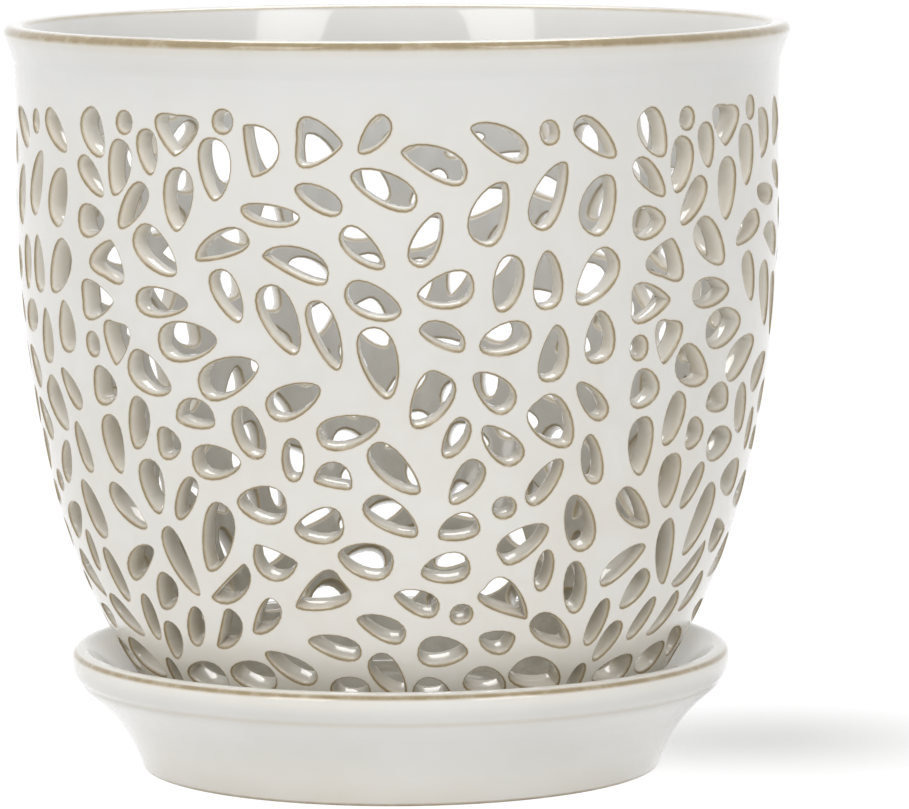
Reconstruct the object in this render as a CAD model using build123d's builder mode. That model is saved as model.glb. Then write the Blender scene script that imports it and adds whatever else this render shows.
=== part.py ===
from build123d import *

import os
from math import asin, cos, degrees, hypot, radians, sin

# Orchid pot with slots, standing in its saucer. Millimetres, +Z up.
# The origin is the middle of the saucer's underside, and the front of the pot faces -Y.

# Pot, driving sizes
rim_radius = 80.0
pot_height = 146.6
wall = 4.6
lip_flare = 2.3
lip_flare_height = 11.6
lip_edge = 2.0
lip_round = 1.8
lip_inner_round = 2.0
belly_below_rim = 34.6
upper_curve = 260.0
upper_turn = 12.9
foot_inset = 33.3
foot_ring_width = 8.0
foot_recess = 2.0
floor_thickness = 5.0
floor_round = 6.0
drain_radius = 9.0

# Saucer, driving sizes
saucer_floor = 6.0
saucer_wall = 4.5
saucer_moat = 6.2
saucer_base_lean = 16.0
saucer_flare_curve = 31.0
saucer_flare_turn = 37.0
saucer_shoulder_curve = 8.0
saucer_rim_edge = 2.3
saucer_rim_round = 2.2
saucer_rim_inner_round = 1.3
saucer_ring_width = 9.0
saucer_recess = 1.5
saucer_floor_round = 3.0

# Slots, driving sizes: the list below is laid out for a wall of this radius on a pot of this height
slot_layout_radius = 77.7
slot_layout_height = 146.6
slot_layout_below_foot = 6.0
slot_repeats = 4
slot_clear = 1.5

# Shape of a slot: how far each side is pulled out at the heel and at the tip, in half widths,
# and how far the heel is squared off, as a share of the slot's length
oval_shape = (1.33, 1.33, 0.0)
pear_shape = (1.6, 1.02, 0.0)
drop_shape = (1.78, 0.78, 0.0)
shield_shape = (1.75, 0.85, 0.12)
wedge_shape = (2.1, 0.3, 0.2)

# Each slot of one quarter runs from its heel to its tip: heel azimuth and height, tip azimuth and height,
# width, and how far its middle bends to the left of that run, seen from outside.
# Azimuth counts in degrees from the front towards +X, and the rows go from the rim down.
ovals = [
    (-43.5, 133.6, -43.1, 138.2, 4.4, 0.0),
    (-25.8, 134.4, -25.7, 139.2, 4.4, 0.0),
    (22.3, 132.1, 21.9, 136.9, 4.0, 0.0),
    (-22.3, 136.2, -21.0, 126.3, 6.7, 2.8),
    (-14.2, 118.6, -22.9, 120.2, 4.2, 0.5),
    (9.3, 93.0, 3.0, 97.2, 4.8, -0.9),
    (37.7, 94.1, 38.0, 89.1, 4.5, 0.0),
    (-24.3, 81.4, -21.7, 71.3, 6.2, -0.3),
    (-35.6, 78.6, -28.8, 77.9, 6.0, 1.4),
    (-16.2, 75.5, -16.5, 66.9, 4.4, 0.0),
    (-13.2, 67.2, -7.5, 65.8, 5.2, 2.0),
    (16.5, 63.6, 16.5, 59.2, 4.8, 0.0),
    (-24.0, 53.6, -17.1, 50.2, 6.6, -2.5),
    (-26.4, 49.6, -34.3, 42.0, 4.3, 1.9),
    (24.6, 52.3, 24.4, 43.9, 3.9, 0.0),
    (29.9, 49.4, 32.4, 38.6, 5.1, 0.0),
    (10.6, 41.9, 10.6, 37.7, 4.5, 0.0),
    (38.6, 40.9, 37.3, 31.2, 4.3, 0.0),
    (-38.4, 39.6, -42.0, 31.2, 4.2, 0.1),
    (-6.2, 24.0, -14.0, 23.4, 6.6, 0.0),
    (37.8, 27.3, 37.2, 20.5, 3.6, 0.0),
]
pears = [
    (29.2, 114.3, 32.0, 125.7, 7.8, 1.0),
    (2.4, 121.0, -6.6, 127.0, 6.3, -0.4),
    (-8.2, 119.8, -14.7, 124.4, 4.7, -0.3),
    (-7.4, 105.4, 0.2, 100.2, 6.5, -0.5),
    (16.4, 111.1, 14.7, 100.2, 5.9, 0.3),
    (19.3, 96.2, 11.8, 93.2, 6.3, -0.1),
    (-42.8, 82.0, -44.9, 71.5, 5.6, 0.6),
    (9.6, 79.6, 6.8, 71.9, 4.6, 0.4),
    (-33.7, 66.5, -38.0, 57.9, 4.2, 0.0),
    (20.6, 61.9, 25.5, 70.4, 5.0, 0.2),
    (32.2, 65.2, 29.9, 75.1, 4.7, 0.4),
    (31.7, 51.7, 28.0, 63.0, 6.6, 0.0),
    (36.6, 44.0, 44.8, 51.0, 4.9, 0.8),
    (-25.2, 25.8, -35.4, 25.6, 7.6, 0.0),
]
drops = [
    (-44.2, 132.5, -45.7, 121.6, 6.4, 0.7),
    (-39.3, 134.8, -38.2, 126.0, 5.1, 0.0),
    (-27.9, 133.6, -27.2, 121.5, 7.0, 0.7),
    (-1.7, 138.2, -5.5, 131.2, 4.6, 0.5),
    (18.4, 129.6, 10.4, 135.8, 5.7, -0.8),
    (26.3, 136.7, 32.8, 129.4, 5.4, 0.0),
    (38.5, 138.2, 41.9, 129.0, 6.9, -0.6),
    (-39.3, 123.9, -44.5, 115.3, 5.4, 0.0),
    (-33.0, 127.6, -33.7, 115.3, 6.9, 0.0),
    (9.5, 125.8, 0.5, 131.3, 6.2, -0.9),
    (12.2, 113.1, 15.4, 125.1, 7.4, 1.0),
    (20.4, 115.9, 24.6, 128.6, 6.5, 0.7),
    (36.3, 128.2, 41.9, 121.2, 4.9, 0.2),
    (-41.1, 115.1, -34.0, 106.9, 7.4, 0.0),
    (-21.8, 114.2, -30.3, 109.9, 5.4, -1.0),
    (-7.8, 116.6, -2.1, 109.1, 5.3, -0.3),
    (2.4, 109.4, 5.8, 119.5, 5.4, 0.0),
    (35.9, 116.0, 42.1, 116.3, 6.6, 0.0),
    (-10.3, 106.4, -19.7, 111.0, 5.9, -1.5),
    (-41.6, 101.2, -32.1, 101.1, 6.0, 0.0),
    (-27.3, 107.9, -23.7, 98.1, 5.7, 0.3),
    (10.6, 106.5, 2.7, 103.6, 7.1, 0.7),
    (21.7, 100.3, 21.7, 111.7, 6.1, -0.3),
    (32.3, 111.2, 26.7, 101.2, 7.6, 0.5),
    (-37.7, 93.2, -27.5, 94.4, 8.0, 0.0),
    (-19.6, 105.2, -15.2, 92.1, 7.2, 0.2),
    (-12.4, 102.5, -9.0, 89.2, 5.6, 0.2),
    (-4.4, 97.4, -1.7, 83.6, 7.3, 0.4),
    (22.0, 86.2, 23.4, 97.2, 6.0, -0.8),
    (30.2, 89.2, 30.4, 99.5, 6.8, -0.6),
    (-43.8, 90.0, -36.2, 84.0, 7.7, -0.7),
    (-30.7, 84.2, -21.0, 89.8, 7.6, 0.4),
    (-19.8, 80.6, -11.7, 85.6, 6.6, 0.0),
    (16.6, 80.9, 11.0, 88.0, 6.3, -0.4),
    (32.4, 78.3, 27.3, 85.5, 4.7, 0.0),
    (-12.3, 75.8, -3.0, 78.8, 6.7, -0.2),
    (18.6, 70.8, 12.6, 77.7, 5.8, 0.3),
    (39.9, 77.7, 40.6, 66.0, 6.4, -0.4),
    (-33.5, 69.8, -25.0, 70.3, 7.1, 0.0),
    (-4.1, 74.4, 2.9, 64.9, 6.1, -0.4),
    (12.0, 71.0, 8.0, 62.6, 5.5, 0.3),
    (-42.4, 69.5, -42.0, 58.6, 6.5, -0.3),
    (-18.0, 61.8, -26.2, 62.2, 7.8, 0.0),
    (-9.2, 60.0, -16.8, 57.1, 7.3, 0.8),
    (-5.4, 63.0, 2.5, 56.2, 6.3, 0.5),
    (12.6, 58.0, 6.2, 55.8, 5.7, -0.9),
    (37.0, 63.2, 44.4, 55.4, 5.6, -0.5),
    (-29.2, 61.8, -33.6, 47.7, 6.9, 0.7),
    (-40.8, 56.0, -37.1, 42.3, 5.4, -0.8),
    (-1.3, 50.0, -10.0, 52.4, 7.7, 0.0),
    (11.4, 49.7, 3.5, 48.4, 6.6, -0.4),
    (-43.3, 46.0, -47.3, 38.5, 5.6, 0.6),
    (-22.2, 42.6, -27.3, 35.3, 4.6, 0.9),
    (-30.9, 39.8, -36.3, 31.5, 4.9, 1.3),
    (6.2, 40.2, -1.0, 44.0, 5.3, -0.7),
    (0.4, 34.6, -7.6, 39.0, 5.4, -0.7),
    (-7.5, 31.4, -16.9, 34.0, 5.5, -0.5),
    (3.2, 32.3, 12.3, 31.6, 7.2, 0.0),
    (24.0, 38.3, 32.7, 31.5, 5.8, 0.1),
    (43.6, 35.6, 40.5, 27.6, 4.9, 0.2),
    (-37.0, 25.0, -47.9, 24.0, 7.4, 0.0),
    (-16.9, 25.5, -26.0, 31.0, 5.8, 0.0),
    (-4.4, 31.6, 0.6, 22.5, 5.8, -0.6),
    (2.8, 24.8, 9.6, 22.4, 6.0, 0.0),
    (12.7, 26.6, 21.0, 22.8, 6.6, 0.4),
    (21.6, 27.4, 33.2, 22.8, 7.6, 1.0),
]
shields = [
    (6.2, 88.3, 2.2, 77.9, 7.6, 0.5),
    (37.1, 83.8, 42.5, 82.8, 7.9, 0.0),
    (20.8, 82.2, 26.5, 73.2, 8.2, 0.1),
    (-39.8, 73.2, -35.4, 73.0, 6.6, 0.0),
    (16.6, 51.2, 24.2, 57.0, 6.5, 0.3),
    (20.8, 33.2, 14.4, 35.0, 5.4, 0.5),
]
wedges = [
    (-33.4, 137.7, -33.8, 129.9, 10.2, 0.0),
    (-14.4, 133.2, -7.9, 132.8, 9.8, 0.0),
    (41.9, 105.3, 43.6, 112.6, 10.6, 0.0),
    (36.2, 100.4, 43.5, 100.6, 8.0, 0.0),
    (43.9, 96.3, 43.0, 88.0, 7.6, 0.0),
    (-9.8, 46.8, -18.1, 41.2, 8.0, 0.4),
    (14.2, 44.8, 22.4, 38.1, 6.8, 1.0),
]

# Levels and radii that follow from the sizes
foot_z = saucer_floor
rim_z = foot_z + pot_height
lip_z = rim_z - lip_edge
neck_z = lip_z - lip_flare_height
belly_z = rim_z - belly_below_rim
underside_z = foot_z + foot_recess
floor_z = underside_z + floor_thickness
body_radius = rim_radius - lip_flare
inner_radius = body_radius - wall
lip_inner_radius = rim_radius - wall
foot_radius = body_radius - foot_inset
foot_inner_radius = foot_radius - foot_ring_width

# The wall leaves the belly on the upper curve and meets the foot on a tighter one that carries on from it
join_radius = body_radius - upper_curve * (1 - cos(radians(upper_turn)))
join_z = belly_z - upper_curve * sin(radians(upper_turn))
join_to_foot = hypot(join_radius - foot_radius, join_z - foot_z)
lower_half_turn = degrees(asin((join_radius - foot_radius) / join_to_foot)) - upper_turn
lower_curve = join_to_foot / (2 * sin(radians(lower_half_turn)))
lower_centre_radius = join_radius - lower_curve * cos(radians(upper_turn))
lower_centre_z = join_z + lower_curve * sin(radians(upper_turn))
inner_lower_turn = degrees(asin((lower_centre_z - floor_z) / (lower_curve - wall))) - upper_turn

# The saucer's inside runs a wall's thickness within its outside, from the floor beside the foot to the rim
saucer_floor_radius = foot_radius + saucer_moat
flare_lean = saucer_base_lean + saucer_flare_turn
base_heading = (sin(radians(saucer_base_lean)), cos(radians(saucer_base_lean)))
inner_flare_curve = saucer_flare_curve + saucer_wall
flare_centre_z = -saucer_flare_curve * sin(radians(saucer_base_lean))
inner_floor_lean = degrees(asin((saucer_floor - flare_centre_z) / inner_flare_curve))
flare_centre_radius = saucer_floor_radius + inner_flare_curve * cos(radians(inner_floor_lean))
saucer_base_radius = flare_centre_radius - saucer_flare_curve * cos(radians(saucer_base_lean))


def wall_at(z):
    """Radius of the outer wall at a height, and how far its outward normal leans down there, in degrees."""
    if z >= belly_z:
        return body_radius, 0.0
    if z >= join_z:
        lean = asin((belly_z - z) / upper_curve)
        return body_radius - upper_curve * (1 - cos(lean)), degrees(lean)
    lean = asin((lower_centre_z - z) / lower_curve)
    return lower_centre_radius + lower_curve * cos(lean), degrees(lean)


def slot_plane(azimuth, z):
    """Plane touching the outer wall there, with X around the pot, Y up the wall and Z outwards."""
    radius, lean = wall_at(z)
    around = radians(azimuth)
    down = radians(lean)
    return Plane(
        origin=(radius * sin(around), -radius * cos(around), z),
        x_dir=(cos(around), sin(around), 0),
        z_dir=(sin(around) * cos(down), -cos(around) * cos(down), -sin(down)),
    )


def slot_side(run, rise, width, bend, shape):
    """Four points of the curve along one side of a slot, in the plane of the wall, from heel to tip."""
    heel_pull, tip_pull, heel_square = shape
    along = Vector(run, rise)
    across = Vector(-rise, run).normalized()
    middle_pull = bend * 4 / 3
    return [
        along * -0.5,
        along * (-0.5 - heel_square) + across * (heel_pull * width / 2 + middle_pull),
        along * 0.5 + across * (tip_pull * width / 2 + middle_pull),
        along * 0.5,
    ]


slot_rise_scale = pot_height / slot_layout_height
slot_run_scale = body_radius / slot_layout_radius
slots = [(*slot, oval_shape) for slot in ovals]
slots += [(*slot, pear_shape) for slot in pears]
slots += [(*slot, drop_shape) for slot in drops]
slots += [(*slot, shield_shape) for slot in shields]
slots += [(*slot, wedge_shape) for slot in wedges]

# Pot: one turned ceramic body with a flared lip, a foot ring and a drain hole, pierced by the slots
with BuildPart() as pot:
    with BuildSketch(Plane.XZ):
        with BuildLine():
            outer_wall = Line((body_radius, neck_z), (body_radius, belly_z))
            outer_upper = JernArc(outer_wall @ 1, outer_wall % 1, upper_curve, -upper_turn)
            outer_lower = JernArc(outer_upper @ 1, outer_upper % 1, lower_curve, -2 * lower_half_turn)
            underside = Polyline(
                outer_lower @ 1,
                (foot_inner_radius, foot_z),
                (foot_inner_radius, underside_z),
                (drain_radius, underside_z),
                (drain_radius, floor_z),
            )
            inner_wall = Line((inner_radius, neck_z), (inner_radius, belly_z))
            inner_upper = JernArc(inner_wall @ 1, inner_wall % 1, upper_curve - wall, -upper_turn)
            inner_lower = JernArc(inner_upper @ 1, inner_upper % 1, lower_curve - wall, -inner_lower_turn)
            Line(inner_lower @ 1, underside @ 1)
            lip_flank = TangentArc((body_radius, neck_z), (rim_radius, lip_z), tangent=(0, 1))
            lip_side = Line(lip_flank @ 1, (rim_radius, rim_z))
            lip_inner_flank = TangentArc((inner_radius, neck_z), (lip_inner_radius, lip_z), tangent=(0, 1))
            Polyline(lip_inner_flank @ 1, (lip_inner_radius, rim_z), lip_side @ 1)
        make_face()
        fillet(vertices().sort_by_distance((rim_radius, rim_z))[0], lip_round)
        fillet(vertices().sort_by_distance((lip_inner_radius, rim_z))[0], lip_inner_round)
        fillet(vertices().sort_by_distance(inner_lower @ 1)[0], floor_round)
    revolve(axis=Axis.Z)
    for heel_azimuth, heel_height, tip_azimuth, tip_height, width, bend, shape in slots:
        height = (heel_height + tip_height) / 2
        middle_z = foot_z + (height - slot_layout_below_foot) * slot_rise_scale
        middle_azimuth = (heel_azimuth + tip_azimuth) / 2
        radius, lean = wall_at(middle_z)
        run = radians(tip_azimuth - heel_azimuth) * radius
        rise = (tip_height - heel_height) * slot_rise_scale / cos(radians(lean))
        width *= slot_run_scale
        bend *= slot_run_scale
        planes = [
            slot_plane(middle_azimuth + 360 / slot_repeats * i, middle_z).offset(slot_clear)
            for i in range(slot_repeats)
        ]
        with BuildSketch(*planes):
            with BuildLine():
                Bezier(*slot_side(run, rise, width, bend, shape))
                Bezier(*slot_side(run, rise, -width, bend, shape))
            make_face()
    extrude(amount=-(wall + 2 * slot_clear), mode=Mode.SUBTRACT)
pot.part.label = "pot"

# Saucer: one turned dish whose wall sweeps out from a foot ring and turns up into a rolled rim
with BuildPart() as saucer:
    with BuildSketch(Plane.XZ):
        with BuildLine():
            outer_flare = JernArc(
                (saucer_base_radius, 0), base_heading, saucer_flare_curve, -saucer_flare_turn
            )
            outer_shoulder = JernArc(outer_flare @ 1, outer_flare % 1, saucer_shoulder_curve, flare_lean)
            rim_outer = outer_shoulder @ 1
            rim = Polyline(
                rim_outer,
                rim_outer + (0, saucer_rim_edge),
                rim_outer + (-saucer_wall, saucer_rim_edge),
                rim_outer + (-saucer_wall, 0),
            )
            inner_shoulder = JernArc(rim @ 1, rim % 1, saucer_shoulder_curve - saucer_wall, -flare_lean)
            inner_flare = JernArc(
                inner_shoulder @ 1, inner_shoulder % 1, inner_flare_curve, flare_lean - inner_floor_lean
            )
            Polyline(
                inner_flare @ 1,
                (0, saucer_floor),
                (0, saucer_recess),
                (saucer_base_radius - saucer_ring_width, saucer_recess),
                (saucer_base_radius - saucer_ring_width, 0),
                outer_flare @ 0,
            )
        make_face()
        fillet(vertices().sort_by_distance(rim_outer + (0, saucer_rim_edge))[0], saucer_rim_round)
        rim_inner = rim_outer + (-saucer_wall, saucer_rim_edge)
        fillet(vertices().sort_by_distance(rim_inner)[0], saucer_rim_inner_round)
        fillet(vertices().sort_by_distance(inner_flare @ 1)[0], saucer_floor_round)
    revolve(axis=Axis.Z)
saucer.part.label = "saucer"

os.makedirs("parts", exist_ok=True)
export_step(pot.part, "parts/pot.step", write_pcurves=False)
export_step(saucer.part, "parts/saucer.step")
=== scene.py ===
import math

import bpy
import numpy as np
from mathutils import Matrix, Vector
from mathutils.geometry import delaunay_2d_cdt


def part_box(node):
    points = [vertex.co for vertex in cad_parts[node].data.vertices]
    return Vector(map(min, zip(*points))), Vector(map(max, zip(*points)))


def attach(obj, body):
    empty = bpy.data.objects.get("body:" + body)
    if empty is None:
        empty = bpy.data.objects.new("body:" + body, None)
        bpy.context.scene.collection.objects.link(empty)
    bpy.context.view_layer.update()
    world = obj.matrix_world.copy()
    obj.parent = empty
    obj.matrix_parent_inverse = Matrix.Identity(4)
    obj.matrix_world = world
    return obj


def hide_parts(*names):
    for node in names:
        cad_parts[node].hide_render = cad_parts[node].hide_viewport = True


# Glazed orchid pot with petal slots, standing in its saucer. The object's sizes are in millimetres
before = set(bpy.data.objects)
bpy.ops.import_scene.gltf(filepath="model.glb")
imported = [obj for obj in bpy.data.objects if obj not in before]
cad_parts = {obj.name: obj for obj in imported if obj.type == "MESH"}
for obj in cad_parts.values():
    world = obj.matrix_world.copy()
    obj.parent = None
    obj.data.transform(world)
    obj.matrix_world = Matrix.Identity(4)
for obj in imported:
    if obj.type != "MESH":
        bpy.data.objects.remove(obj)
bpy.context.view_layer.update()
MM = 0.001

# Pot, as in the CAD model
FOOT_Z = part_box("pot")[0].z / MM
RIM_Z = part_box("pot")[1].z / MM
RIM_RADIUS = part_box("pot")[1].x / MM
WALL = 4.6
LIP_FLARE = 2.3
LIP_FLARE_HEIGHT = 11.6
LIP_EDGE = 2.0
LIP_ROUND = 1.8
BELLY_BELOW_RIM = 34.6
UPPER_CURVE = 260.0
UPPER_TURN = math.radians(12.9)
FOOT_INSET = 33.3
FOOT_RING_WIDTH = 8.0
FOOT_RECESS = 2.0
FLOOR_THICKNESS = 5.0
FLOOR_ROUND = 6.0
DRAIN_RADIUS = 9.0

# Saucer, as in the CAD model but for its inner side: an even slope from a narrower rim to a rounder heel
SAUCER_FLOOR = FOOT_Z
SAUCER_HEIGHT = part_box("saucer")[1].z / MM
SAUCER_RIM_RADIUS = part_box("saucer")[1].x / MM
SAUCER_WALL = 4.5
SAUCER_BASE_LEAN = math.radians(16.0)
SAUCER_FLARE_CURVE = 31.0
SAUCER_FLARE_TURN = math.radians(37.0)
SAUCER_SHOULDER_CURVE = 8.0
SAUCER_RIM_ROUND = 2.2
SAUCER_RIM_INNER_ROUND = 1.4
SAUCER_RIM_WIDTH = 2.9
SAUCER_SLOPE_Z = 15.0
SAUCER_RING_WIDTH = 9.0
SAUCER_RECESS = 1.5
SAUCER_FLOOR_ROUND = 5.0

# Faint turned grooves: height, depth and width
NECK_GROOVE = (145.2, 0.3, 1.1)
SAUCER_GROOVE = (18.4, 0.3, 0.7)

# Band of the pot's wall that holds the slots, the same in each quarter
SLOT_BAND = (18.2, 142.6)
BAND_MARGIN = 1.0
QUARTERS = 4
QUARTER = 2 * math.pi / QUARTERS

# How a slot's outline is known in the CAD mesh: a sharp edge on the outer face, with enough points
CREASE_TURN = math.radians(40)
FACE_TOLERANCE = 0.05
FEWEST_POINTS = 8

# How near a point has to be to count as on the ground, or on the pot's floor
GROUND_TOLERANCE = 0.05
FLOOR_TOLERANCE = 0.5

# How finely profiles, slot outlines, rings and webs are drawn
ARC_STEP = 0.4
CORNER_POINTS = 12
POT_STEP = 0.25
SAUCER_STEP = 0.2
PROFILE_SOFTENING = 6
OUTLINE_STEP = 0.12
OUTLINE_SOFTENING = 8
OUTLINE_GAP = 2.0
OUTLINE_TURN = math.radians(30)
CLIMB_LEVELS = 2000
WALL_PASSES = 4
COLUMNS = 48
RING_GAP = 4.0
RING_TURN = math.radians(14)
FOCUS_WIDTH = 1.3
FOCUS_GAP = 0.26
WEB_GRID = 5.5
WEB_CLEAR = 1.5

# Glazed edge of a slot from the outer face inwards: distance outside the cut outline, depth under the
# outer face, and how much brown edge line, cream glaze and painted shade (grey, more of it deeper in the
# slot) shows there. The inner edge is where it meets the inner face, which has its own tones
SLOT_EDGE = [
    (0.55, 0.0, 0.04, 0.3, 0.0),
    (0.27, 0.02, 0.18, 0.5, 0.0),
    (0.08, 0.08, 0.82, 0.8, 0.0),
    (-0.10, 0.26, 0.55, 1.0, 0.15),
    (-0.30, 0.7, 0.05, 1.0, 0.5),
    (-0.42, WALL - 0.9, 0.08, 0.9, 0.75),
    (-0.20, WALL - 0.22, 0.5, 0.4, 0.85),
]
SLOT_INNER_EDGE = (0.25, WALL)
POOL_AT_BOTTOM = 1.1
# Share of the painted shade that is left off at a slot's bottom, which faces up to the light
SHADE_OFF_AT_BOTTOM = 0.95
TIP_SHARE = 0.7

# Glaze tones that change with height: levels, and how much shows at each of them. Cream as painted light
# makes the lower body and the saucer's base lighter; painted shade darkens the pot's inside and its slots
# lower down, and the saucer's flare
GLAZE_MASKS = ("glaze_edge", "glaze_cream_and_painted_light", "glaze_painted_shade")
LOW_PAINTED_LIGHT_Z = (60.0, 130.0)
LOW_PAINTED_LIGHT = (0.55, 0.0)
INNER_SHADE_Z = (35.0, 62.0, 125.0)
INNER_SHADE = (0.85, 0.5, 0.03)
INNER_FADE_Z = (118.0, 134.0)
EDGE_SHADE_Z = (40.0, 95.0)
EDGE_SHADE = (1.0, 0.15)
SAUCER_PAINTED_LIGHT_Z = (2.0, 14.0)
SAUCER_PAINTED_LIGHT = (0.9, 0.15)
SAUCER_SHADE_Z = (6.0, 13.0, 20.0, 22.0)
SAUCER_SHADE = (0.0, 0.09, 0.09, 0.0)

# Cloudy patterns in the glaze: scale, detail and roughness
CLOUDS = (28.0, 3.0, 0.55)
DRIFT = (55.0, 2.0, 0.5)
RIPPLE = (120.0, 2.0, 0.5)
BREAKS = (260.0, 3.0, 0.6)

# Glaze colours, each as tones to drift between
BODY_TONES = ((0.83, 0.825, 0.80), (0.87, 0.867, 0.85))
# Cream of pooled glaze, also the painted light low on the pot and over the saucer
POOLED_AND_LIT_TONES = ((0.925, 0.88, 0.79), (0.945, 0.92, 0.855))
# Grey-olive of the painted shade
PAINTED_SHADE_TONES = ((0.22, 0.19, 0.13), (0.32, 0.29, 0.22))
BROWN_TONES = ((0.66, 0.56, 0.38), (0.42, 0.325, 0.18), (0.12, 0.09, 0.037))

# Studio floor, in metres, with the middle and radius of the soft shadow on it, and the light all around
FLOOR_HALF = 4.0
FLOOR_LEVEL = -0.0002
FLOOR_COLOUR = (0.92, 0.92, 0.92, 1)
FLOOR_GLOW = 1.05
SHADOW_MIDDLE = (0.080, 0.025, 0.0)
SHADOW_RADIUS = 0.063
SHADOW_GLOW = 0.39
WORLD_LIGHT = 0.36

# Lamps: name, azimuth from the front towards +X and elevation in degrees, distance, width and height in
# metres, radiance, and whether it lights the glaze's body or only shows in its gloss
LAMP_AIM = (0.0, 0.0, 0.08)
LAMPS = [
    ("right_card", 38, 30, 1.3, 0.5, 0.6, 2.9, "gloss"),
    ("left_card", -37, 30, 1.3, 0.5, 0.6, 2.9, "gloss"),
    ("back_card", 180, 65, 1.3, 0.9, 0.7, 4.5, "gloss"),
    ("front_top_box", 0, 50, 1.3, 1.0, 0.7, 1.65, "body"),
    ("low_fill", 0, 9, 1.9, 3.4, 0.5, 1.3, "body"),
    ("side_right_box", 112, 10, 1.5, 1.0, 0.6, 1.0, "body"),
    ("side_left_box", -112, 10, 1.5, 1.0, 0.6, 1.5, "body"),
    ("top_box", 0, 85, 1.3, 1.0, 1.0, 1.1, "body"),
    ("key_box", -60, 70, 1.2, 0.7, 0.7, 1.7, "body"),
]

# Camera, fitted to the ellipses of the pot's lip and the saucer. Its place is in metres
CAMERA_PLACE = (0.0, -1.23536, 0.21275)
CAMERA_PITCH = math.radians(6.409)
CAMERA_YAW = math.radians(0.524)
CAMERA_ROLL = math.radians(0.269)
FOCAL_PX = 6064.2
IMAGE_WIDTH_PX = 909
SENSOR_WIDTH = 36.0

# Levels and radii that follow
BODY_RADIUS = RIM_RADIUS - LIP_FLARE
QUARTER_RUN = QUARTER * BODY_RADIUS
LIP_Z = RIM_Z - LIP_EDGE
NECK_Z = LIP_Z - LIP_FLARE_HEIGHT
BELLY_Z = RIM_Z - BELLY_BELOW_RIM
UNDERSIDE_Z = FOOT_Z + FOOT_RECESS
FLOOR_Z = UNDERSIDE_Z + FLOOR_THICKNESS
FOOT_RADIUS = BODY_RADIUS - FOOT_INSET
JOIN_RADIUS = BODY_RADIUS - UPPER_CURVE * (1 - math.cos(UPPER_TURN))
JOIN_Z = BELLY_Z - UPPER_CURVE * math.sin(UPPER_TURN)
LOWER_CHORD = math.hypot(JOIN_RADIUS - FOOT_RADIUS, JOIN_Z - FOOT_Z)
LOWER_HALF_TURN = math.asin((JOIN_RADIUS - FOOT_RADIUS) / LOWER_CHORD) - UPPER_TURN
LOWER_CURVE = LOWER_CHORD / (2 * math.sin(LOWER_HALF_TURN))
LOWER_CENTRE_Z = JOIN_Z + LOWER_CURVE * math.sin(UPPER_TURN)
LOWER_CENTRE_RADIUS = JOIN_RADIUS - LOWER_CURVE * math.cos(UPPER_TURN)
FLANK_TURN = 2 * math.atan(LIP_FLARE / LIP_FLARE_HEIGHT)
FLANK_CURVE = LIP_FLARE_HEIGHT / math.sin(FLANK_TURN)

# Brown edge lines: place on the profile where it is fixed, how much brown shows, and half the line's
# width. The cream glaze beside a rim has its own amount and half width
LIP_LINE = ((RIM_RADIUS - 0.4, RIM_Z - 0.85), 0.62, 1.15)
LIP_INNER_LINE = ((RIM_RADIUS - WALL + 0.55, RIM_Z - 0.55), 0.4, 0.6)
FOOT_LINE = ((FOOT_RADIUS, FOOT_Z + 0.3), 0.7, 0.5)
POT_LINES = (LIP_LINE, LIP_INNER_LINE, FOOT_LINE)
LIP_CREAM = (0.5, 3.0)
SAUCER_RIM_LINE = ((SAUCER_RIM_RADIUS - 0.5, SAUCER_HEIGHT - 0.95), 0.58, 0.6)
SAUCER_BASE_LINE = (0.55, 0.45)
# Faint brown painted shade in the saucer's groove: how much shows, and half its width
SAUCER_GROOVE_SHADE = (0.15, 0.6)
SAUCER_RIM_CREAM = (0.65, 3.0)


def wall_at(z):
    """Radius of the pot's outer face at each height, and how far its normal leans down, in radians."""
    z = np.asarray(z, float)
    upper = np.arcsin(np.clip((BELLY_Z - z) / UPPER_CURVE, 0, 1))
    lower = np.arcsin(np.clip((LOWER_CENTRE_Z - z) / LOWER_CURVE, -1, 1))
    flank = np.arcsin(np.clip((z - NECK_Z) / FLANK_CURVE, 0, 1))
    lean = np.where(z < JOIN_Z, lower, np.where(z < BELLY_Z, upper, flank))
    radius = np.where(
        z < JOIN_Z,
        LOWER_CENTRE_RADIUS + LOWER_CURVE * np.cos(lower),
        np.where(
            z < BELLY_Z,
            BODY_RADIUS - UPPER_CURVE * (1 - np.cos(upper)),
            BODY_RADIUS + FLANK_CURVE * (1 - np.cos(flank)),
        ),
    )
    return radius, lean


def on_wall(azimuth, z, depth=0.0):
    """Points on the pot's outer face, or a depth under it, and the normals there. Azimuth 0 is -Y."""
    radius, lean = wall_at(z)
    sine, cosine = np.sin(azimuth), np.cos(azimuth)
    normal = np.stack([sine * np.cos(lean), -cosine * np.cos(lean), -np.sin(lean)], -1)
    face = np.stack([radius * sine, -radius * cosine, z + 0 * radius], -1)
    return face - depth * normal, normal


def wall_climb():
    """Heights over the slot band, and the way up along the wall to each of them."""
    levels = np.linspace(SLOT_BAND[0] - BAND_MARGIN, SLOT_BAND[1] + BAND_MARGIN, CLIMB_LEVELS)
    steps = np.hypot(np.diff(levels), np.diff(wall_at(levels)[0]))
    return levels, np.concatenate([[0], np.cumsum(steps)])


def steps_along(points, closed):
    """Length of each step along a line of points, from each point to the next."""
    ends = np.roll(points, -1, 0) if closed else points[1:]
    return np.linalg.norm(ends - points[: len(ends)], axis=1)


def points_at(points, run, count, closed):
    """A count of even steps along the run that is given for a line's points, as points between them."""
    line = np.vstack([points, points[:1]]) if closed else points
    at = np.linspace(0, run[-1], count + 1)
    if closed:
        at = at[:-1]
    return np.stack([np.interp(at, run, line[:, i]) for i in range(points.shape[1])], -1)


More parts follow.
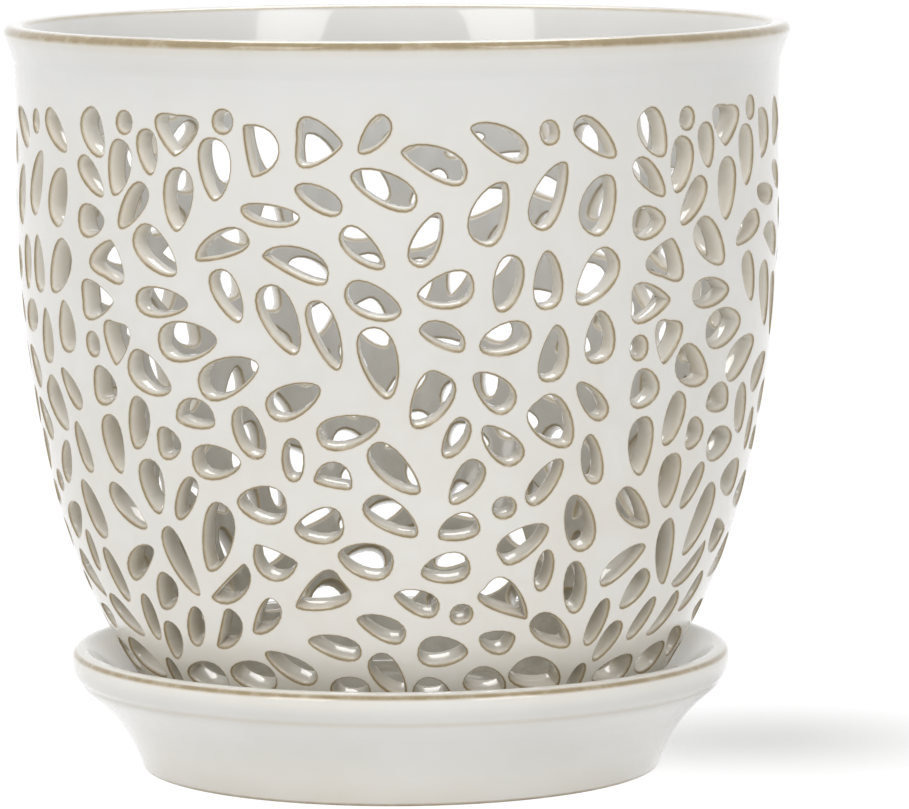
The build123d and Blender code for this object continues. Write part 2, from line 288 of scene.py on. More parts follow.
def evenly(points, step, closed):
    """The same line with points a step apart."""
    run = np.concatenate([[0], np.cumsum(steps_along(points, closed))])
    return points_at(points, run, round(run[-1] / step), closed)


def softened(points, passes, closed):
    """The line with its corners rounded by averaging each point with its neighbours. Open ends stay."""
    for _ in range(passes):
        mean = (np.roll(points, 1, 0) + 2 * points + np.roll(points, -1, 0)) / 4
        if not closed:
            mean[0] = points[0]
            mean[-1] = points[-1]
        points = mean
    return points


def picked(points, gap, turn, closed, focus=()):
    """Fewer points of the line: at most a gap or a turn in direction apart, and closer near the focus."""
    steps = steps_along(points, closed)
    ahead = (np.roll(points, -1, 0) - points)[: len(steps)]
    heading = np.unwrap(np.arctan2(ahead[:, 1], ahead[:, 0]))
    bend = np.abs(np.gradient(heading)) / steps
    density = np.hypot(1 / gap, bend / turn)
    for place in focus:
        near = np.linalg.norm(points[: len(steps)] - place, axis=1) < FOCUS_WIDTH
        density[near] = np.maximum(density[near], 1 / FOCUS_GAP)
    run = np.concatenate([[0], np.cumsum(density * steps)])
    return points_at(points, run, math.ceil(run[-1]), closed)


def arc(start, heading, radius, turn):
    """Points of an arc of a profile (radius, height). Headings count from straight up to outwards."""
    angles = heading + np.linspace(0, turn, 3 + int(abs(turn) * radius / ARC_STEP))
    side = math.copysign(radius, turn)
    across = start[0] + side * (math.cos(heading) - np.cos(angles))
    up = start[1] + side * (np.sin(angles) - math.sin(heading))
    return np.stack([across, up], -1)


def rounded(before, corner, after, radius):
    """Points of the arc that rounds a profile's corner between two other points of it."""
    before, corner, after = (np.array(p, float) for p in (before, corner, after))
    back = (before - corner) / np.linalg.norm(before - corner)
    on = (after - corner) / np.linalg.norm(after - corner)
    half = math.acos(np.clip(back @ on, -1, 1)) / 2
    middle = (back + on) / np.linalg.norm(back + on)
    centre = corner + middle * radius / math.sin(half)
    first = corner + back * radius / math.tan(half) - centre
    last = corner + on * radius / math.tan(half) - centre
    share = np.linspace(0, 1, CORNER_POINTS)[:, None]
    fan = first * (1 - share) + last * share
    return centre + radius * fan / np.linalg.norm(fan, axis=1)[:, None]


def grooved(profile, side, groove):
    """The profile with a faint groove turned into one side of it."""
    z, depth, width = groove
    cut = depth * np.exp(-(((profile[:, 1] - z) / width) ** 2)) * side
    return profile - np.stack([cut, 0 * cut], -1)


def pot_profile():
    """The pot's closed profile: from the drain hole under the floor, up the outside, down the inside."""
    foot_lean = UPPER_TURN + 2 * LOWER_HALF_TURN
    lower = arc((FOOT_RADIUS, FOOT_Z), foot_lean, LOWER_CURVE, -2 * LOWER_HALF_TURN)
    upper = arc(lower[-1], UPPER_TURN, UPPER_CURVE, -UPPER_TURN)
    flank = arc((BODY_RADIUS, NECK_Z), 0.0, FLANK_CURVE, FLANK_TURN)
    outside = np.vstack([lower, upper, flank])
    rim_inner = RIM_RADIUS - WALL
    lip = np.vstack([
        rounded((RIM_RADIUS, LIP_Z), (RIM_RADIUS, RIM_Z), (rim_inner, RIM_Z), LIP_ROUND),
        rounded((RIM_RADIUS, RIM_Z), (rim_inner, RIM_Z), (rim_inner, LIP_Z), LIP_ROUND),
    ])
    up_inside = outside[outside[:, 1] > FLOOR_Z - WALL]
    inside, _ = on_wall(np.full(len(up_inside), math.pi / 2), up_inside[:, 1], WALL)
    inside = inside[inside[:, 2] > FLOOR_Z][::-1][:, [0, 2]]
    above_heel = inside[-8]
    heel = rounded(above_heel, (inside[-1, 0], FLOOR_Z), (DRAIN_RADIUS, FLOOR_Z), FLOOR_ROUND)
    inside = inside[inside[:, 1] > heel[0, 1]]
    foot_inner = FOOT_RADIUS - FOOT_RING_WIDTH
    under = [
        (DRAIN_RADIUS, FLOOR_Z),
        (DRAIN_RADIUS, UNDERSIDE_Z),
        (foot_inner, UNDERSIDE_Z),
        (foot_inner, FOOT_Z),
    ]
    line = np.vstack([under, outside, lip, inside, heel])
    return softened(evenly(line, POT_STEP, True), PROFILE_SOFTENING, True)


def saucer_profile():
    """The saucer's profile from the middle of its underside, round the rim, to the middle of its floor."""
    lean = SAUCER_BASE_LEAN + SAUCER_FLARE_TURN
    rim_z = SAUCER_HEIGHT
    flare = arc((0.0, 0.0), SAUCER_BASE_LEAN, SAUCER_FLARE_CURVE, SAUCER_FLARE_TURN)
    shoulder = arc(flare[-1], lean, SAUCER_SHOULDER_CURVE, -lean)
    outside = np.vstack([flare, shoulder[1:]])
    outside[:, 0] += SAUCER_RIM_RADIUS - outside[-1, 0]
    base_radius = outside[0, 0]
    normal_lean = np.arctan2(np.gradient(outside[:, 0]), np.gradient(outside[:, 1]))
    inside = outside + SAUCER_WALL * np.stack([-np.cos(normal_lean), np.sin(normal_lean)], -1)
    inside = inside[(inside[:, 1] > SAUCER_FLOOR) & (inside[:, 1] < SAUCER_SLOPE_Z)][::-1]
    rim_inner = SAUCER_RIM_RADIUS - SAUCER_RIM_WIDTH
    rim = np.vstack([
        rounded(outside[-1], (SAUCER_RIM_RADIUS, rim_z), (rim_inner, rim_z), SAUCER_RIM_ROUND),
        rounded((SAUCER_RIM_RADIUS, rim_z), (rim_inner, rim_z), inside[0], SAUCER_RIM_INNER_ROUND),
    ])
    above_heel = inside[-6]
    heel = rounded(above_heel, (inside[-1, 0], SAUCER_FLOOR), (0, SAUCER_FLOOR), SAUCER_FLOOR_ROUND)
    inside = inside[inside[:, 1] > heel[0, 1]]
    ring_inner = base_radius - SAUCER_RING_WIDTH
    under = [(0, SAUCER_RECESS), (ring_inner, SAUCER_RECESS), (ring_inner, 0)]
    line = np.vstack([under, outside, rim, inside, heel, [(0, SAUCER_FLOOR)]])
    return softened(evenly(line, SAUCER_STEP, False), PROFILE_SOFTENING, False)


def sharp_edges(mesh):
    """The mesh's points in millimetres, joined where they meet, and its sharp edges as pairs of them."""
    points = np.empty(len(mesh.vertices) * 3)
    mesh.vertices.foreach_get("co", points)
    points, same = np.unique(np.round(points.reshape(-1, 3) / MM, 3), axis=0, return_inverse=True)
    mesh.calc_loop_triangles()
    corners = np.empty(len(mesh.loop_triangles) * 3, np.int32)
    mesh.loop_triangles.foreach_get("vertices", corners)
    faces = same.reshape(-1)[corners].reshape(-1, 3)
    side = np.cross(points[faces[:, 1]] - points[faces[:, 0]], points[faces[:, 2]] - points[faces[:, 0]])
    side /= np.maximum(np.linalg.norm(side, axis=1), 1e-12)[:, None]
    edges = np.sort(np.vstack([faces[:, [0, 1]], faces[:, [1, 2]], faces[:, [2, 0]]]), axis=1)
    owner = np.tile(np.arange(len(faces)), 3)
    order = np.lexsort((edges[:, 1], edges[:, 0]))
    edges, owner = edges[order], owner[order]
    pair = np.flatnonzero((edges[:-1] == edges[1:]).all(1))
    sharp = (side[owner[pair]] * side[owner[pair + 1]]).sum(1) < math.cos(CREASE_TURN)
    return points, edges[pair[sharp]]


def joined_lines(edges):
    """The lines that edges form end to end, each a list of points in order."""
    beside = {}
    for a, b in edges.tolist():
        beside.setdefault(a, []).append(b)
        beside.setdefault(b, []).append(a)
    lines = []
    left = set(beside)
    while left:
        line = [min(left)]
        left.discard(line[0])
        while onward := [p for p in beside[line[-1]] if p in left]:
            line.append(onward[0])
            left.discard(onward[0])
        lines.append(line)
    return lines


def slot_outlines(mesh):
    """The CAD pot's slots in the front quarter: closed lines where their walls meet the outer face."""
    points, edges = sharp_edges(mesh)
    radius = np.hypot(points[:, 0], points[:, 1])
    outer = np.abs(radius - wall_at(points[:, 2])[0]) < FACE_TOLERANCE
    outer &= (points[:, 2] > SLOT_BAND[0]) & (points[:, 2] < SLOT_BAND[1])
    outlines = []
    for line in joined_lines(edges[outer[edges].all(1)]):
        outline = points[line]
        middle = outline.mean(0)
        if len(line) > FEWEST_POINTS and abs(math.atan2(middle[0], -middle[1])) <= QUARTER / 2:
            outlines.append(outline)
    return sorted(outlines, key=lambda line: (round(line[:, 2].mean(), 2), round(line[:, 0].mean(), 2)))


def onto_wall(points, out):
    """The points moved along one direction until they lie on the pot's outer face."""
    for _ in range(WALL_PASSES):
        radius, lean = wall_at(points[:, 2])
        proud = (np.hypot(points[:, 0], points[:, 1]) - radius) * np.cos(lean)
        points = points - proud[:, None] * out
    return points


def room_inside(flat, away):
    """Radius of the largest circle that touches a flat outline at each point and stays inside it."""
    least = 1e-3
    gaps = flat[None] - flat[:, None]
    inward = -(gaps * away[:, None]).sum(-1)
    radius = np.where(inward > least, (gaps**2).sum(-1) / (2 * np.maximum(inward, least)), np.inf)
    return radius.min(1)


def slot_loops(outline):
    """The loops of a slot's glazed edge from the outer face to the inner one, each counter-clockwise, and
    how far each of their points lies at the slot's bottom, where the glaze pools."""
    middle = outline.mean(0)
    around = math.atan2(middle[0], -middle[1])
    centre, out = on_wall(around, middle[2])
    across = np.array([math.cos(around), math.sin(around), 0.0])
    up = np.cross(out, across)
    flat = np.stack([(outline - centre) @ across, (outline - centre) @ up], -1)
    flat = softened(evenly(flat, OUTLINE_STEP, True), OUTLINE_SOFTENING, True)
    ahead = np.roll(flat, -1, 0)
    if (flat[:, 0] * ahead[:, 1] - flat[:, 1] * ahead[:, 0]).sum() < 0:
        flat = flat[::-1]
    flat = picked(flat, OUTLINE_GAP, OUTLINE_TURN, True)
    along = np.roll(flat, -1, 0) - np.roll(flat, 1, 0)
    along /= np.linalg.norm(along, axis=1)[:, None]
    away = np.stack([along[:, 1], -along[:, 0]], -1)
    room = TIP_SHARE * room_inside(flat, away)
    bottom = np.clip(-away[:, 1], 0, 1) ** 2
    loops = []
    for offset, depth, *_ in [*SLOT_EDGE, SLOT_INNER_EDGE]:
        narrow = -offset * (1 + POOL_AT_BOTTOM * bottom)
        shift = np.full(len(flat), offset) if offset > 0 else -np.minimum(narrow, room)
        place = flat + shift[:, None] * away
        points = onto_wall(centre + place[:, :1] * across + place[:, 1:] * up, out)
        loops.append(points - depth * out)
    return loops, bottom


def inside_outline(point, outline):
    """True if the point lies inside the closed flat outline."""
    x, y = outline[:, 0], outline[:, 1]
    x2, y2 = np.roll(x, -1), np.roll(y, -1)
    crosses = (y > point[1]) != (y2 > point[1])
    rise = np.where(crosses, y2 - y, 1.0)
    return bool((crosses & (point[0] < x + (point[1] - y) * (x2 - x) / rise)).sum() % 2)


def web_points(outlines, band):
    """Points in the webs between the flat outlines, on a staggered grid that repeats in each quarter."""
    rows = round((band[1] - band[0]) / (WEB_GRID * math.sin(math.pi / 3)))
    across = round(QUARTER_RUN / WEB_GRID)
    grid = [
        (((i + 0.5 * (row % 2)) / across - 0.5) * QUARTER_RUN, y)
        for row, y in enumerate(np.linspace(*band, rows + 1)[1:-1])
        for i in range(across)
    ]
    every = [outline + (turn * QUARTER_RUN, 0) for outline in outlines for turn in (-1, 0, 1)]
    rims = np.vstack(every)
    return [
        place
        for place in grid
        if np.linalg.norm(rims - place, axis=1).min() > WEB_CLEAR
        and not any(inside_outline(place, outline) for outline in every)
    ]


def web_faces(places, outlines, starts):
    """Triangles of the wall between the slots, as pairs of a point of the quarter and the quarter it lies
    in. places are the quarter's points laid flat: the outlines, each from its start, the webs' points and
    the two edges of the band."""
    flat = []
    owner = []
    edges = []
    loop_of = np.full(len(places), -1)
    spans = list(zip(starts[:-1], starts[1:]))
    for i, (first, last) in enumerate(spans):
        loop_of[first:last] = i
    for turn in (-1, 0, 1):
        begin = len(flat)
        flat += [(x + turn * QUARTER_RUN, y) for x, y in places]
        owner += [(i, turn) for i in range(len(places))]
        for first, last in spans:
            edges += [(begin + i, begin + i + 1) for i in range(first, last - 1)]
            edges.append((begin + last - 1, begin + first))
        for rows_left in (2, 1):
            corner = begin + len(places) - rows_left * COLUMNS
            edges += [(i, i + 1) for i in range(corner, corner + COLUMNS - 1)]
    verts, _, faces, origin, _, _ = delaunay_2d_cdt(flat, edges, [], 0, 1e-7, True)
    kept = []
    for face in faces:
        spot = sum(verts[i].x for i in face) / 3, sum(verts[i].y for i in face) / 3
        if not -QUARTER_RUN / 2 <= spot[0] < QUARTER_RUN / 2:
            continue
        corners = [owner[origin[i][0]] for i in face]
        loops = {(loop_of[i], turn) for i, turn in corners}
        if len(loops) == 1:
            loop, turn = loops.pop()
            if loop >= 0 and inside_outline((spot[0] - turn * QUARTER_RUN, spot[1]), outlines[loop]):
                continue
        kept.append(corners)
    return kept


def turned(rings, azimuths):
    """The points of rings, given as radius and height, at each azimuth, one ring after the other."""
    return np.stack([
        np.outer(rings[:, 0], np.sin(azimuths)),
        -np.outer(rings[:, 0], np.cos(azimuths)),
        np.repeat(rings[:, 1:], len(azimuths), 1),
    ], -1).reshape(-1, 3)


def line_mask(profile, place, width):
    """How much of a line around this place shows at each point of a profile."""
    return np.exp(-((np.linalg.norm(profile - place, axis=1) / width) ** 4))


def brown_lines(profile, lines):
    """How much brown shows at each point of a profile with these edge lines."""
    return np.minimum(sum(share * line_mask(profile, place, width) for place, share, width in lines), 1.0)


def build_mesh(name, points, faces, normals, masks):
    """A smooth mesh in metres with the glaze's masks. A zero normal is left to the mesh itself."""
    mesh = bpy.data.meshes.new(name)
    mesh.from_pydata((points * MM).tolist(), [], faces)
    mesh.update()
    mesh.shade_smooth()
    for mask, values in zip(GLAZE_MASKS, masks):
        mesh.attributes.new(mask, "FLOAT", "POINT").data.foreach_set("value", values.astype(np.float32))
    mesh.normals_split_custom_set_from_vertices(normals.tolist())
    piece = bpy.data.objects.new(name, mesh)
    bpy.context.scene.collection.objects.link(piece)
    return piece


def pot_rings():
    """Rings of the turned wall above the slot band, over the lip, and of wall and floor below the band."""
    profile = pot_profile()
    profile = grooved(profile, profile[:, 0] > BODY_RADIUS - 0.5 * WALL, NECK_GROOVE)
    seam = [on_wall(math.pi / 2, level, depth)[0][[0, 2]] for depth in (0.0, WALL) for level in SLOT_BAND]
    low_out, top_out, low_in, top_in = (int(np.linalg.norm(profile - s, axis=1).argmin()) for s in seam)
    over = profile[top_out:top_in + 1]
    under = np.vstack([profile[low_in:], profile[:low_out + 1]])
    focus = [place for place, _, _ in POT_LINES]
    return [picked(line, RING_GAP, RING_TURN, False, focus)[1:-1] for line in (over, under)]


def pot_masks(base, field, loop_rows, pooled_and_lit, rings):
    """How much brown edge, cream glaze (with painted light lower down) and painted shade shows at each
    point of the pot's quarter.
    """
    z = base[:, 2]
    inner = slice(field, 2 * field)
    edge, cream_and_painted_light, painted_shade = np.zeros((3, len(base)))
    # Painted light: the outer body lighter with cream lower down
    cream_and_painted_light[:field] = np.interp(z[:field], LOW_PAINTED_LIGHT_Z, LOW_PAINTED_LIGHT)
    # Painted shade over the inner face: darker lower down, gone near the top
    painted_shade[inner] = np.interp(z[inner], INNER_SHADE_Z, INNER_SHADE)
    painted_shade[inner] *= np.interp(z[inner], INNER_FADE_Z, (1, 0))
    for start, (_, _, brown, warm, shade_share) in zip(loop_rows[:-1], SLOT_EDGE):
        row = slice(start, start + len(pooled_and_lit))
        edge[row] = brown
        cream_and_painted_light[row] = np.maximum(cream_and_painted_light[row], warm)
        # Painted shade deeper in each slot, more in the lower slots, left off at the bottoms that face up
        darker = np.interp(z[row], EDGE_SHADE_Z, EDGE_SHADE)
        painted_shade[row] = np.minimum(shade_share * darker, 1) * (1 - SHADE_OFF_AT_BOTTOM * pooled_and_lit)
    first_ring = len(base) - len(rings) * COLUMNS
    lip_cream, lip_cream_width = LIP_CREAM
    edge[first_ring:] = np.repeat(brown_lines(rings, POT_LINES), COLUMNS)
    cream_and_painted_light[first_ring:] = np.repeat(lip_cream * line_mask(rings, LIP_LINE[0], lip_cream_width), COLUMNS)
    low_inside = (rings[:, 1] > FLOOR_Z - FLOOR_TOLERANCE) & (rings[:, 1] < BELLY_Z)
    low_inside &= rings[:, 0] < wall_at(rings[:, 1])[0] - WALL / 2
    # Painted shade low inside the pot, over its floor
    painted_shade[first_ring:] = INNER_SHADE[0] * np.repeat(low_inside, COLUMNS)
    return edge, cream_and_painted_light, painted_shade


def pot_faces(triangles, starts, field, loop_rows, bands, count):
    """The pot's faces: the same in every quarter, each point taken from the quarter that it lies in."""
    faces = []
    for q in range(QUARTERS):
        here = q * count
        onward = (q + 1) % QUARTERS * count
        for corners in triangles:
            ids = [i + (q + turn) % QUARTERS * count for i, turn in corners]
            faces.append(ids)
            faces.append([ids[0] + field, ids[2] + field, ids[1] + field])
        for first, last in zip(starts[:-1], starts[1:]):
            for near, far in zip(loop_rows[:-1], loop_rows[1:]):
                for i in range(here + first, here + last):
                    j = i + 1 if i + 1 < here + last else here + first
                    faces.append([near + i, near + j, far + j, far + i])
        for rows in bands:
            for low, high in zip(rows[:-1], rows[1:]):
                for k in range(COLUMNS):
                    shift, j = (here, k + 1) if k + 1 < COLUMNS else (onward, 0)
                    faces.append([here + low[k], shift + low[j], shift + high[j], here + high[k]])
    return faces


def make_pot():
    """The pierced, glazed pot, built around the CAD pot's own slots. The points of a quarter are its outer
    face, its inner face, the loops inside the slots, and the turned rings above and below the slots."""
    edges = [slot_loops(outline) for outline in slot_outlines(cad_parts["pot"].data)]
    slots = [loops for loops, _ in edges]
    pooled_and_lit = np.concatenate([bottom for _, bottom in edges])
    in_loop = len(pooled_and_lit)

    # Both faces of the band, from its points laid flat
    levels, climb = wall_climb()
    outlines = []
    for rim, *_ in slots:
        run = np.arctan2(rim[:, 0], -rim[:, 1]) * BODY_RADIUS
        outlines.append(np.stack([run, np.interp(rim[:, 2], levels, climb)], -1))
    starts = np.cumsum([0] + [len(outline) for outline in outlines]).tolist()
    columns = -QUARTER / 2 + QUARTER / COLUMNS * np.arange(COLUMNS)
    band = np.interp(SLOT_BAND, levels, climb)
    borders = [(azimuth * BODY_RADIUS, y) for y in band for azimuth in columns]
    places = np.vstack([*outlines, web_points(outlines, band), borders])
    field = len(places)
    azimuth = places[:, 0] / BODY_RADIUS
    z = np.interp(places[:, 1], climb, levels)
    outer, outward = on_wall(azimuth, z)
    inner, _ = on_wall(azimuth, z, WALL)
    inner[:in_loop] = np.vstack([loops[-1] for loops in slots])

    # The loops inside the slots, and the turned rings
    middle_loops = [np.vstack([loops[step] for loops in slots]) for step in range(1, len(SLOT_EDGE))]
    above, below = pot_rings()
    rings = np.vstack([above, below])
    base = np.vstack([outer, inner, *middle_loops, turned(rings, columns)])
    normals = np.vstack([outward, -outward, np.zeros((len(base) - 2 * field, 3))])

    # Rows of points that faces run between
    first_ring = len(base) - len(rings) * COLUMNS
    loop_rows = [0, *range(2 * field, first_ring, in_loop), field]
    ring_rows = [range(i, i + COLUMNS) for i in range(first_ring, len(base), COLUMNS)]
    low_outer = range(field - 2 * COLUMNS, field - COLUMNS)
    top_outer = range(field - COLUMNS, field)
    low_inner = range(2 * field - 2 * COLUMNS, 2 * field - COLUMNS)
    top_inner = range(2 * field - COLUMNS, 2 * field)
    bands = (
        [top_outer, *ring_rows[:len(above)], top_inner],
        [low_inner, *ring_rows[len(above):], low_outer],
    )

    triangles = web_faces(places, outlines, starts)
    faces = pot_faces(triangles, starts, field, loop_rows, bands, len(base))
    masks = [np.tile(mask, QUARTERS) for mask in pot_masks(base, field, loop_rows, pooled_and_lit, rings)]
    spins = [np.array(Matrix.Rotation(QUARTER * q, 3, "Z")) for q in range(QUARTERS)]
    points = np.vstack([base @ spin.T for spin in spins])
    normals = np.vstack([normals @ spin.T for spin in spins])
    return build_mesh("pot_glazed", points, faces, normals, masks)


def make_saucer():
    """The glazed saucer: its softened profile, with a faint groove under the rim, turned round."""
    profile = saucer_profile()
    outer = profile[:, 0] > SAUCER_RIM_RADIUS - SAUCER_WALL
    outer[profile[:, 0].argmax():] = False
    profile = grooved(profile, outer, SAUCER_GROOVE)
    groove = profile[np.flatnonzero(outer)[np.abs(profile[outer, 1] - SAUCER_GROOVE[0]).argmin()]]
    on_ground = np.flatnonzero(profile[:, 1] < GROUND_TOLERANCE)
    just_above = on_ground.max() + 2
    # The brown at the groove is painted shade
    lines = (SAUCER_RIM_LINE, (profile[just_above], *SAUCER_BASE_LINE), (groove, *SAUCER_GROOVE_SHADE))
    rings = picked(profile, RING_GAP, RING_TURN, False, [place for place, _, _ in lines])
    turns = QUARTERS * COLUMNS
    wheel = rings[1:-1]
    points = turned(wheel, 2 * math.pi / turns * np.arange(turns))
    points = np.vstack([points, [(0, 0, rings[0, 1]), (0, 0, rings[-1, 1])]])
    under, top = len(points) - 2, len(points) - 1
    last = (len(wheel) - 1) * turns
    faces = []
    for k in range(turns):
        j = (k + 1) % turns
        faces.append([under, j, k])
        faces.append([top, last + k, last + j])
        for i in range(0, last, turns):
            faces.append([i + k, i + j, i + turns + j, i + turns + k])
    z = wheel[:, 1]
    inside = wheel[:, 0] < SAUCER_RIM_RADIUS - SAUCER_WALL
    inside &= np.arange(len(wheel)) > z.argmax()
    rim_cream, rim_cream_width = SAUCER_RIM_CREAM
    rim_cream = rim_cream * line_mask(wheel, SAUCER_RIM_LINE[0], rim_cream_width)
    edge = brown_lines(wheel, lines)
    # Painted light: cream over the saucer's whole inside and its lower base; the cream beside the rim is
    # glaze
    cream_and_painted_light = np.where(inside, 1.0, np.maximum(np.interp(z, SAUCER_PAINTED_LIGHT_Z, SAUCER_PAINTED_LIGHT), rim_cream))
    # Painted shade: a faint grey band over the saucer's outer flare, which faces down
    painted_shade = np.where(inside, 0, np.interp(z, SAUCER_SHADE_Z, SAUCER_SHADE))
    masks = [np.append(np.repeat(mask, turns), (0, 0)) for mask in (edge, cream_and_painted_light, painted_shade)]
    return build_mesh("saucer_glazed", points, faces, np.zeros((len(points), 3)), masks)


def make_floor():
    """A wide flat floor just under the saucer."""
    mesh = bpy.data.meshes.new("floor")
    corners = [(-1, -1), (1, -1), (1, 1), (-1, 1)]
    points = [(x * FLOOR_HALF, y * FLOOR_HALF, FLOOR_LEVEL) for x, y in corners]
    mesh.from_pydata(points, [], [(0, 1, 2, 3)])
    mesh.materials.append(floor_material())
    made = bpy.data.objects.new("floor", mesh)
    bpy.context.scene.collection.objects.link(made)
    return made


def feed(tree, socket, value):
    """Feed a node's input from another node's output, or set its value."""
    if isinstance(value, bpy.types.NodeSocket):
        tree.links.new(value, socket)
    else:
        socket.default_value = value


def node(tree, kind, **inputs):
    """A new node with the named inputs fed or set."""
    made = tree.nodes.new(kind)
    for name, value in inputs.items():
        feed(tree, made.inputs[name.replace("_", " ")], value)
    return made


def ramp(tree, factor, places, colours):
    """A colour ramp over the factor."""
    made = tree.nodes.new("ShaderNodeValToRGB")
    tree.links.new(factor, made.inputs["Fac"])
    elements = made.color_ramp.elements
    while len(elements) < len(places):
        elements.new(0.5)
    for element, place, colour in zip(elements, places, colours):
        element.position = place
        element.color = (*colour, 1)
    return made.outputs["Color"]


def grey_ramp(tree, factor, places, levels):
    """A ramp between levels of grey, for amounts."""
    return ramp(tree, factor, places, [(level, level, level) for level in levels])


def mix_colour(tree, factor, first, second):
    """Two colours mixed by a factor."""
    made = tree.nodes.new("ShaderNodeMix")
    made.data_type = "RGBA"
    for place, output in ((0, factor), (6, first), (7, second)):
        tree.links.new(output, made.inputs[place])
    return made.outputs[2]


def math_node(tree, operation, first, second):
    """One sum of two numbers or sockets."""
    made = tree.nodes.new("ShaderNodeMath")
    made.operation = operation
    for socket, value in zip(made.inputs, (first, second)):
        feed(tree, socket, value)
    return made.outputs[0]


def noise(tree, coords, scale, detail, roughness):
    """A cloudy pattern over the object."""
    made = node(tree, "ShaderNodeTexNoise", Vector=coords, Scale=scale)
    made.inputs["Detail"].default_value = detail
    made.inputs["Roughness"].default_value = roughness
    return made.outputs["Fac"]


def glaze_mask(tree, name):
    """One of the glaze's masks on the mesh."""
    made = tree.nodes.new("ShaderNodeAttribute")
    made.attribute_name = name
    return made.outputs["Fac"]


def seen_rays(tree):
    """1 for rays that show a surface to the camera, also by reflection or through glass, and else 0."""
    rays = tree.nodes.new("ShaderNodeLightPath").outputs
    seen = math_node(tree, "MAXIMUM", rays["Is Camera Ray"], rays["Is Transmission Ray"])
    return math_node(tree, "MAXIMUM", seen, rays["Is Glossy Ray"])


def glaze_material():
    """White gloss glaze, cream where it pools in slots and as painted light low on the pot and saucer,
    greyer with painted shade in the slots and inside, brown on the edges.
    """
    material = bpy.data.materials.new("white_breaking_glaze")
    material.use_nodes = True
    tree = material.node_tree
    coords = tree.nodes.new("ShaderNodeTexCoord").outputs["Object"]
    edge, cream_and_painted_light, painted_shade = (glaze_mask(tree, name) for name in GLAZE_MASKS)
    clouds = noise(tree, coords, *CLOUDS)
    breaks = noise(tree, coords, *BREAKS)
    drift = noise(tree, coords, *DRIFT)
    ripple = noise(tree, coords, *RIPPLE)
    body = ramp(tree, clouds, (0.35, 0.65), BODY_TONES)
    pooled_and_lit = ramp(tree, drift, (0.35, 0.65), POOLED_AND_LIT_TONES)
    shade_colour = ramp(tree, breaks, (0.3, 0.65), PAINTED_SHADE_TONES)
    amount = math_node(tree, "MULTIPLY", edge, grey_ramp(tree, breaks, (0.25, 0.6), (0.75, 1.0)))
    brown = ramp(tree, amount, (0.0, 0.5, 1.0), BROWN_TONES)
    cover = grey_ramp(tree, amount, (0.0, 0.55), (0.0, 1.0))
    # Cream: pooled glaze, and painted light lower down
    colour = mix_colour(tree, cream_and_painted_light, body, pooled_and_lit)
    # The painted shade, mixed in as grey
    colour = mix_colour(tree, painted_shade, colour, shade_colour)
    colour = mix_colour(tree, cover, colour, brown)
    gloss = grey_ramp(tree, clouds, (0.3, 0.7), (0.05, 0.12))
    bump = node(tree, "ShaderNodeBump", Height=ripple, Strength=0.05, Distance=0.0006)
    inputs = {
        "Base Color": colour,
        "Roughness": gloss,
        "Normal": bump.outputs["Normal"],
        "IOR": 1.5,
        "Coat Weight": 0.5,
        "Coat Roughness": 0.03,
    }
    for name, value in inputs.items():
        feed(tree, tree.nodes["Principled BSDF"].inputs[name], value)
    return material


def floor_material():
    """Pale floor that keeps the object's soft shadow, and is white to the camera elsewhere."""
    material = bpy.data.materials.new("pale_floor")
    material.use_nodes = True
    tree = material.node_tree
    shader = tree.nodes["Principled BSDF"]
    shader.inputs["Base Color"].default_value = FLOOR_COLOUR
    shader.inputs["Roughness"].default_value = 0.9
    shader.inputs["Specular IOR Level"].default_value = 0.0
    away = tree.nodes.new("ShaderNodeVectorMath")
    away.operation = "DISTANCE"
    feed(tree, away.inputs[0], tree.nodes.new("ShaderNodeTexCoord").outputs["Object"])
    feed(tree, away.inputs[1], SHADOW_MIDDLE)
    fade = node(tree, "ShaderNodeMapRange", Value=away.outputs["Value"])
    fade.inputs["From Max"].default_value = SHADOW_RADIUS
    fade.inputs["To Min"].default_value = SHADOW_GLOW
    fade.interpolation_type = "SMOOTHSTEP"
    lifted = math_node(tree, "MULTIPLY", seen_rays(tree), fade.outputs[0])
    glow = node(tree, "ShaderNodeEmission", Color=(1, 1, 1, 1), Strength=FLOOR_GLOW)
    both = tree.nodes.new("ShaderNodeMixShader")
    for socket, output in zip(both.inputs, (lifted, shader.outputs[0], glow.outputs[0])):
        tree.links.new(output, socket)
    tree.links.new(both.outputs[0], tree.nodes["Material Output"].inputs["Surface"])
    return material


def light_world():
    """Even white surroundings: white to the camera and to reflections, softer as light on the object."""
    world = bpy.data.worlds.new("studio")
    bpy.context.scene.world = world
    world.use_nodes = True
    tree = world.node_tree
    unseen = math_node(tree, "SUBTRACT", 1.0, seen_rays(tree))
    dim = math_node(tree, "MULTIPLY", unseen, 1.0 - WORLD_LIGHT)
    strength = math_node(tree, "SUBTRACT", 1.0, dim)
    background = tree.nodes["Background"]
    background.inputs["Color"].default_value = (1, 1, 1, 1)
    tree.links.new(strength, background.inputs["Strength"])


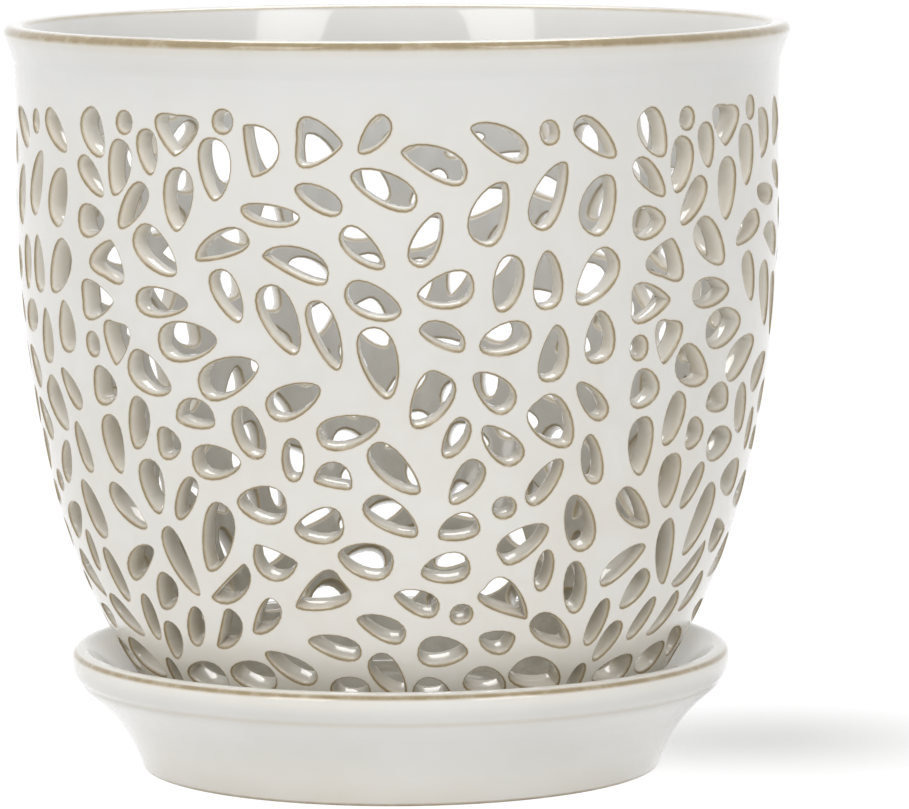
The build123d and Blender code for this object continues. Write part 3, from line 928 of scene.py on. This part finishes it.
def soft_box(name, azimuth, elevation, distance, width, height, radiance, lights):
    """An area lamp that faces the pot, and lights the glaze's body or only shows in its gloss."""
    lamp = bpy.data.lights.new(name, "AREA")
    lamp.shape = "RECTANGLE"
    lamp.size = width
    lamp.size_y = height
    lamp.energy = radiance * math.pi * width * height
    holder = bpy.data.objects.new(name, lamp)
    holder.visible_glossy = lights == "gloss"
    holder.visible_diffuse = lights == "body"
    a, e = math.radians(azimuth), math.radians(elevation)
    away = np.array([math.sin(a) * math.cos(e), -math.cos(a) * math.cos(e), math.sin(e)])
    side = np.array([math.cos(a), math.sin(a), 0.0])
    axes = np.stack([side, np.cross(away, side), away], 1)
    spot = Matrix(axes.tolist()).to_4x4()
    spot.translation = (np.array(LAMP_AIM) + distance * away).tolist()
    holder.matrix_world = spot
    bpy.context.scene.collection.objects.link(holder)


def place_camera():
    """The photograph's camera."""
    flat_ahead = math.cos(CAMERA_PITCH)
    ahead = np.array([
        math.sin(CAMERA_YAW) * flat_ahead,
        math.cos(CAMERA_YAW) * flat_ahead,
        -math.sin(CAMERA_PITCH),
    ])
    level = np.array([math.cos(CAMERA_YAW), -math.sin(CAMERA_YAW), 0.0])
    upright = np.cross(level, ahead)
    right = math.cos(CAMERA_ROLL) * level - math.sin(CAMERA_ROLL) * upright
    up = math.sin(CAMERA_ROLL) * level + math.cos(CAMERA_ROLL) * upright
    lens = bpy.data.cameras.new("camera")
    lens.sensor_fit = "HORIZONTAL"
    lens.sensor_width = SENSOR_WIDTH
    lens.lens = FOCAL_PX * SENSOR_WIDTH / IMAGE_WIDTH_PX
    lens.clip_start = 0.05
    lens.clip_end = 50.0
    camera = bpy.data.objects.new("camera", lens)
    spot = Matrix(np.stack([right, up, -ahead], 1).tolist()).to_4x4()
    spot.translation = CAMERA_PLACE
    camera.matrix_world = spot
    bpy.context.scene.collection.objects.link(camera)
    bpy.context.scene.camera = camera


glaze = glaze_material()

pot = make_pot()
pot.data.materials.append(glaze)
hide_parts("pot")
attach(pot, "pot")

saucer = make_saucer()
saucer.data.materials.append(glaze)
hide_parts("saucer")
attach(saucer, "saucer")

floor = make_floor()

light_world()
for lamp in LAMPS:
    soft_box(*lamp)
place_camera()
bpy.context.scene.view_settings.view_transform = "Standard"
